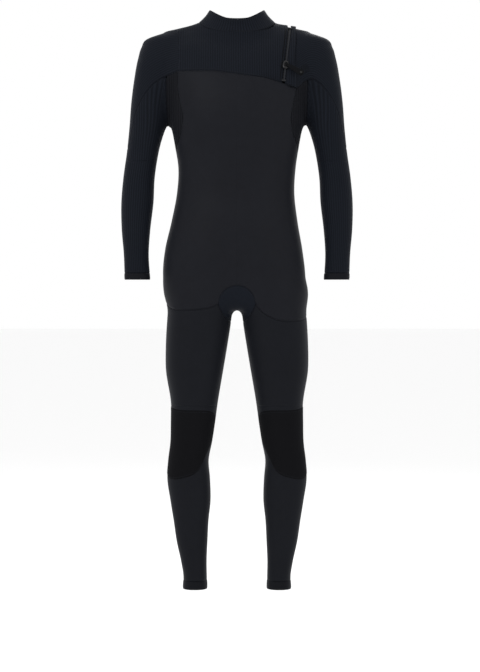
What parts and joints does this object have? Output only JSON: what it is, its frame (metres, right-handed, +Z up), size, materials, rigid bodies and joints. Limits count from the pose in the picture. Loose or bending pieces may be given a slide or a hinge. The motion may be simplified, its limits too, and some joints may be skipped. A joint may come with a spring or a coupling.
{
  "type": "full wetsuit",
  "caption": "Full-length long-sleeved neoprene wetsuit with a stand collar, shoulder zip, ribbed yoke and sleeves, crotch gusset and knee pads.",
  "frame": {"origin": "middle of the neck opening, inside the collar", "axes": "+Z up from the ankles to the collar, the chest faces -Y, +X is the wearer's left"},
  "size_m": [0.569, 0.248, 1.4211],
  "materials": {
    "ribbed_neoprene": "ribbed jersey laminated to neoprene, matt with a faint sheen",
    "body_jersey": "smooth fine jersey on neoprene, soft sheen",
    "leg_jersey": "smooth fine jersey on neoprene, slightly blue",
    "knee_grip": "dense matt abrasion-resistant print on neoprene",
    "trim_tape": "bound edge",
    "smooth_skin": "smooth-skin neoprene",
    "zip_plastic": "moulded zip teeth",
    "zip_metal": "polished zip metal",
    "pull_rubber": "moulded pull tab"
  },
  "bodies": {
    "torso": {"collar": "ribbed_neoprene", "inner_neck_seal": "smooth_skin", "chest_yoke": "ribbed_neoprene", "left_shoulder_panel": "ribbed_neoprene", "back_yoke": "ribbed_neoprene", "front_panel": "body_jersey", "back_panel": "body_jersey", "lower_front_panel": "body_jersey", "seat_panel": "body_jersey", "crotch_gusset": "ribbed_neoprene", "zip_tape_inner": "trim_tape", "zip_tape_outer": "trim_tape", "zip_teeth_inner": "zip_plastic", "zip_teeth_outer": "zip_plastic", "zip_stop_bottom": "zip_metal", "zip_stop_top": "zip_metal", "zip_underlap": "smooth_skin", "zip_flap_edge": "trim_tape", "zip_piping": "trim_tape", "pull_keeper": "trim_tape", "side_panel_left": "ribbed_neoprene", "side_panel_right": "ribbed_neoprene", "shoulder_cap_left": "ribbed_neoprene", "shoulder_cap_right": "ribbed_neoprene", "underarm_front_left": "ribbed_neoprene", "underarm_front_right": "ribbed_neoprene", "underarm_back_left": "ribbed_neoprene", "underarm_back_right": "ribbed_neoprene"},
    "upper_arm_left": {"upper_sleeve_outer_left": "ribbed_neoprene", "upper_sleeve_under_left": "ribbed_neoprene", "elbow_section_left": "ribbed_neoprene"},
    "forearm_left": {"forearm_sleeve_left": "ribbed_neoprene", "wrist_cuff_left": "trim_tape"},
    "upper_arm_right": {"upper_sleeve_outer_right": "ribbed_neoprene", "upper_sleeve_under_right": "ribbed_neoprene", "elbow_section_right": "ribbed_neoprene"},
    "forearm_right": {"forearm_sleeve_right": "ribbed_neoprene", "wrist_cuff_right": "trim_tape"},
    "thigh_left": {"thigh_front_left": "leg_jersey", "thigh_back_left": "leg_jersey", "knee_pad_left": "knee_grip", "knee_back_left": "leg_jersey"},
    "calf_left": {"shin_front_left": "leg_jersey", "calf_back_left": "leg_jersey", "ankle_cuff_left": "trim_tape"},
    "thigh_right": {"thigh_front_right": "leg_jersey", "thigh_back_right": "leg_jersey", "knee_pad_right": "knee_grip", "knee_back_right": "leg_jersey"},
    "calf_right": {"shin_front_right": "leg_jersey", "calf_back_right": "leg_jersey", "ankle_cuff_right": "trim_tape"},
    "slider": {"zip_slider": "zip_metal", "pull_pin": "zip_metal"},
    "pull": {"zip_pull": "pull_rubber", "pull_rivet": "zip_metal"}
  },
  "joints": [
    {"name": "shoulder_left", "type": "hinge", "parent": "torso", "child": "upper_arm_left", "pos_m": [0.196, 0.006, -0.11], "axis": [0, -1, 0], "range_deg": [0, 75], "stiffness_Nm_per_rad": 0.5, "deforming": ["shoulder_cap_left", "underarm_front_left", "underarm_back_left"]},
    {"name": "elbow_left", "type": "hinge", "parent": "upper_arm_left", "child": "forearm_left", "pos_m": [0.241, 0.004, -0.39], "axis": [-1, 0, 0], "range_deg": [0, 100], "stiffness_Nm_per_rad": 0.3, "deforming": ["elbow_section_left"]},
    {"name": "shoulder_right", "type": "hinge", "parent": "torso", "child": "upper_arm_right", "pos_m": [-0.196, 0.006, -0.11], "axis": [0, 1, 0], "range_deg": [0, 75], "stiffness_Nm_per_rad": 0.5, "deforming": ["shoulder_cap_right", "underarm_front_right", "underarm_back_right"]},
    {"name": "elbow_right", "type": "hinge", "parent": "upper_arm_right", "child": "forearm_right", "pos_m": [-0.241, 0.004, -0.39], "axis": [-1, 0, 0], "range_deg": [0, 100], "stiffness_Nm_per_rad": 0.3, "deforming": ["elbow_section_right"]},
    {"name": "hip_left", "type": "hinge", "parent": "torso", "child": "thigh_left", "pos_m": [0.088, 0, -0.63], "axis": [-1, 0, 0], "range_deg": [0, 70], "stiffness_Nm_per_rad": 1, "deforming": ["lower_front_panel", "seat_panel", "crotch_gusset"]},
    {"name": "knee_left", "type": "hinge", "parent": "thigh_left", "child": "calf_left", "pos_m": [0.113, 0, -1.04], "axis": [1, 0, 0], "range_deg": [0, 100], "stiffness_Nm_per_rad": 0.5, "deforming": ["knee_pad_left", "knee_back_left"]},
    {"name": "hip_right", "type": "hinge", "parent": "torso", "child": "thigh_right", "pos_m": [-0.088, 0, -0.63], "axis": [-1, 0, 0], "range_deg": [0, 70], "stiffness_Nm_per_rad": 1, "deforming": ["lower_front_panel", "seat_panel", "crotch_gusset"]},
    {"name": "knee_right", "type": "hinge", "parent": "thigh_right", "child": "calf_right", "pos_m": [-0.113, 0, -1.04], "axis": [1, 0, 0], "range_deg": [0, 100], "stiffness_Nm_per_rad": 0.5, "deforming": ["knee_pad_right", "knee_back_right"]},
    {"name": "zip_travel", "type": "hinge", "parent": "torso", "child": "slider", "pos_m": [0.10954, 0.109, -0.1883], "axis": [-0.9925, 0, 0.1219], "range_deg": [-7.2, 30]},
    {"name": "pull_hinge", "type": "hinge", "parent": "slider", "child": "pull", "pos_m": [0.11783, -0.09432, -0.12078], "axis": [-0.5242, -0.2876, -0.8016], "range_deg": [0, 110]}
  ]
}
